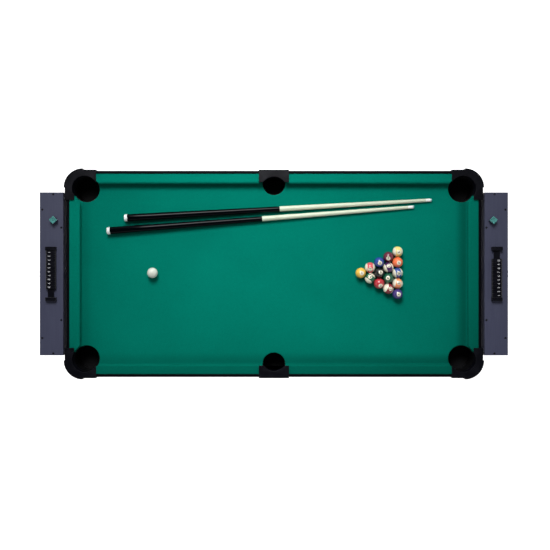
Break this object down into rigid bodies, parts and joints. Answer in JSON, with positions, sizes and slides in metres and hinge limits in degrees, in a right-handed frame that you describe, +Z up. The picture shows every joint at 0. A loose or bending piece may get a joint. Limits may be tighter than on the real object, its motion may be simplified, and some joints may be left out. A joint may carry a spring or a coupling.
{
  "type": "mini pool table",
  "caption": "Compact swivel pool table: green cloth bed with drop pockets that turns over between two end consoles, with racked balls, cues, chalk and bead scorers.",
  "frame": {"origin": "on the floor, under the middle of the table", "axes": "+Z up, X along the table's length, Y across it, pool side up"},
  "size_m": [1.876, 0.824, 0.8281],
  "materials": {
    "apron_board": "satin black laminate on board",
    "ball_black": "polished",
    "ball_blue": "polished",
    "ball_green": "polished",
    "ball_maroon": "polished",
    "ball_orange": "polished",
    "ball_purple": "polished",
    "ball_red": "polished",
    "ball_stripe_blue": "polished, white with a band of this colour",
    "ball_stripe_green": "polished, white with a band of this colour",
    "ball_stripe_maroon": "polished, white with a band of this colour",
    "ball_stripe_orange": "polished, white with a band of this colour",
    "ball_stripe_purple": "polished, white with a band of this colour",
    "ball_stripe_red": "polished, white with a band of this colour",
    "ball_stripe_yellow": "polished, white with a band of this colour",
    "ball_white": "polished",
    "ball_yellow": "polished",
    "bush_plastic": "plain nylon",
    "cap_plastic": "fine moulded grain",
    "chalk": "pressed chalk",
    "cloth": "napped woven cloth",
    "console_board": "slate laminate on board",
    "cue_bumper": "smooth",
    "cue_ferrule": "polished ferrule with a leather tip",
    "cue_lacquer": "gloss black lacquer",
    "cue_maple": "clear lacquered maple",
    "cushion_cloth": "napped woven cloth over rubber",
    "foot_plastic": "moulded",
    "hockey_rail": "gloss laminate",
    "hockey_surface": "smooth coated playing face",
    "knob_plastic": "moulded",
    "pad_rubber": "plain",
    "pocket_plastic": "moulded",
    "raw_board": "bare fibreboard",
    "scorer_plastic": "moulded",
    "screw_steel": "black oxide",
    "steel": "zinc plated"
  },
  "bodies": {
    "stand": {"left_console_shelf": "console_board", "left_console_outer_panel": "console_board", "left_console_inner_panel": "console_board", "right_console_shelf": "console_board", "right_console_outer_panel": "console_board", "right_console_inner_panel": "console_board", "console_end_boards": "console_board", "console_feet": "foot_plastic", "console_screws": "screw_steel", "stretcher_beam": "console_board", "pivot_bushes": "bush_plastic", "left_scorer_rail": "scorer_plastic", "right_scorer_rail": "scorer_plastic"},
    "playing_body": {"side_aprons": "apron_board", "end_aprons": "apron_board", "pool_bed": "raw_board", "pool_cloth": "cloth", "long_cushions": "cushion_cloth", "end_cushions": "cushion_cloth", "corner_caps": "cap_plastic", "side_caps": "cap_plastic", "pocket_cups": "pocket_plastic", "inner_braces": "raw_board", "hockey_board": "hockey_surface", "hockey_rails": "hockey_rail", "pivot_shafts": "steel"},
    "left_knob": {"left_lock_knob": "knob_plastic"},
    "left_pad": {"left_clamp_pad": "pad_rubber"},
    "left_bead_row": {"left_scorer_beads": "scorer_plastic"},
    "left_bead_ten": {"left_last_bead": "scorer_plastic"},
    "right_knob": {"right_lock_knob": "knob_plastic"},
    "right_pad": {"right_clamp_pad": "pad_rubber"},
    "right_bead_row": {"right_scorer_beads": "scorer_plastic"},
    "right_bead_ten": {"right_last_bead": "scorer_plastic"},
    "ball_01": {"ball_01": "ball_yellow"},
    "ball_02": {"ball_02": "ball_blue"},
    "ball_03": {"ball_03": "ball_red"},
    "ball_04": {"ball_04": "ball_purple"},
    "ball_05": {"ball_05": "ball_orange"},
    "ball_06": {"ball_06": "ball_green"},
    "ball_07": {"ball_07": "ball_maroon"},
    "ball_08": {"ball_08": "ball_black"},
    "ball_09": {"ball_09": "ball_stripe_yellow"},
    "ball_10": {"ball_10": "ball_stripe_blue"},
    "ball_11": {"ball_11": "ball_stripe_red"},
    "ball_12": {"ball_12": "ball_stripe_purple"},
    "ball_13": {"ball_13": "ball_stripe_orange"},
    "ball_14": {"ball_14": "ball_stripe_green"},
    "ball_15": {"ball_15": "ball_stripe_maroon"},
    "cue_ball": {"cue_ball": "ball_white"},
    "cue_a": {"cue_a_bumper": "cue_bumper", "cue_a_butt": "cue_lacquer", "cue_a_shaft": "cue_maple", "cue_a_tip": "cue_ferrule"},
    "cue_b": {"cue_b_bumper": "cue_bumper", "cue_b_butt": "cue_lacquer", "cue_b_shaft": "cue_maple", "cue_b_tip": "cue_ferrule"},
    "chalk_a": {"chalk_a": "chalk"},
    "chalk_b": {"chalk_b": "chalk"}
  },
  "joints": [
    {"name": "flip", "type": "hinge", "parent": "stand", "child": "playing_body", "pos_m": [0, 0, 0.718], "axis": [1, 0, 0], "range_deg": [0, 180]},
    {"name": "left_knob_turn", "type": "hinge", "parent": "stand", "child": "left_knob", "pos_m": [-0.9, 0, 0.718], "axis": [-1, 0, 0], "range_deg": [0, 360]},
    {"name": "left_pad_press", "type": "slide", "parent": "stand", "child": "left_pad", "axis": [1, 0, 0], "range_m": [0, 0.0015]},
    {"name": "left_bead_row_slide", "type": "slide", "parent": "stand", "child": "left_bead_row", "axis": [0, -1, 0], "range_m": [0, 0.0155]},
    {"name": "left_bead_ten_slide", "type": "slide", "parent": "left_bead_row", "child": "left_bead_ten", "axis": [0, -1, 0], "range_m": [0, 0.0155]},
    {"name": "right_knob_turn", "type": "hinge", "parent": "stand", "child": "right_knob", "pos_m": [0.9, 0, 0.718], "axis": [1, 0, 0], "range_deg": [0, 360]},
    {"name": "right_pad_press", "type": "slide", "parent": "stand", "child": "right_pad", "axis": [-1, 0, 0], "range_m": [0, 0.0015]},
    {"name": "right_bead_row_slide", "type": "slide", "parent": "stand", "child": "right_bead_row", "axis": [0, 1, 0], "range_m": [0, 0.0155]},
    {"name": "right_bead_ten_slide", "type": "slide", "parent": "right_bead_row", "child": "right_bead_ten", "axis": [0, 1, 0], "range_m": [0, 0.0155]},
    {"name": "ball_01_lift", "type": "slide", "parent": "playing_body", "child": "ball_01", "axis": [0, 0, 1], "range_m": [0, 0.06]},
    {"name": "ball_02_lift", "type": "slide", "parent": "playing_body", "child": "ball_02", "axis": [0, 0, 1], "range_m": [0, 0.06]},
    {"name": "ball_03_lift", "type": "slide", "parent": "playing_body", "child": "ball_03", "axis": [0, 0, 1], "range_m": [0, 0.06]},
    {"name": "ball_04_lift", "type": "slide", "parent": "playing_body", "child": "ball_04", "axis": [0, 0, 1], "range_m": [0, 0.06]},
    {"name": "ball_05_lift", "type": "slide", "parent": "playing_body", "child": "ball_05", "axis": [0, 0, 1], "range_m": [0, 0.06]},
    {"name": "ball_06_lift", "type": "slide", "parent": "playing_body", "child": "ball_06", "axis": [0, 0, 1], "range_m": [0, 0.06]},
    {"name": "ball_07_lift", "type": "slide", "parent": "playing_body", "child": "ball_07", "axis": [0, 0, 1], "range_m": [0, 0.06]},
    {"name": "ball_08_lift", "type": "slide", "parent": "playing_body", "child": "ball_08", "axis": [0, 0, 1], "range_m": [0, 0.06]},
    {"name": "ball_09_lift", "type": "slide", "parent": "playing_body", "child": "ball_09", "axis": [0, 0, 1], "range_m": [0, 0.06]},
    {"name": "ball_10_lift", "type": "slide", "parent": "playing_body", "child": "ball_10", "axis": [0, 0, 1], "range_m": [0, 0.06]},
    {"name": "ball_11_lift", "type": "slide", "parent": "playing_body", "child": "ball_11", "axis": [0, 0, 1], "range_m": [0, 0.06]},
    {"name": "ball_12_lift", "type": "slide", "parent": "playing_body", "child": "ball_12", "axis": [0, 0, 1], "range_m": [0, 0.06]},
    {"name": "ball_13_lift", "type": "slide", "parent": "playing_body", "child": "ball_13", "axis": [0, 0, 1], "range_m": [0, 0.06]},
    {"name": "ball_14_lift", "type": "slide", "parent": "playing_body", "child": "ball_14", "axis": [0, 0, 1], "range_m": [0, 0.06]},
    {"name": "ball_15_lift", "type": "slide", "parent": "playing_body", "child": "ball_15", "axis": [0, 0, 1], "range_m": [0, 0.06]},
    {"name": "cue_ball_lift", "type": "slide", "parent": "playing_body", "child": "cue_ball", "axis": [0, 0, 1], "range_m": [0, 0.06]},
    {"name": "cue_a_lift", "type": "slide", "parent": "playing_body", "child": "cue_a", "axis": [0, 0, 1], "range_m": [0, 0.08]},
    {"name": "cue_b_lift", "type": "slide", "parent": "playing_body", "child": "cue_b", "axis": [0, 0, 1], "range_m": [0, 0.08]},
    {"name": "chalk_a_lift", "type": "slide", "parent": "stand", "child": "chalk_a", "axis": [0, 0, 1], "range_m": [0, 0.05]},
    {"name": "chalk_b_lift", "type": "slide", "parent": "stand", "child": "chalk_b", "axis": [0, 0, 1], "range_m": [0, 0.05]}
  ],
  "couplings": [
    {"joint": "left_pad_press", "follows": "left_knob_turn", "m_per_rad": 0.00023873},
    {"joint": "right_pad_press", "follows": "right_knob_turn", "m_per_rad": 0.00023873}
  ]
}
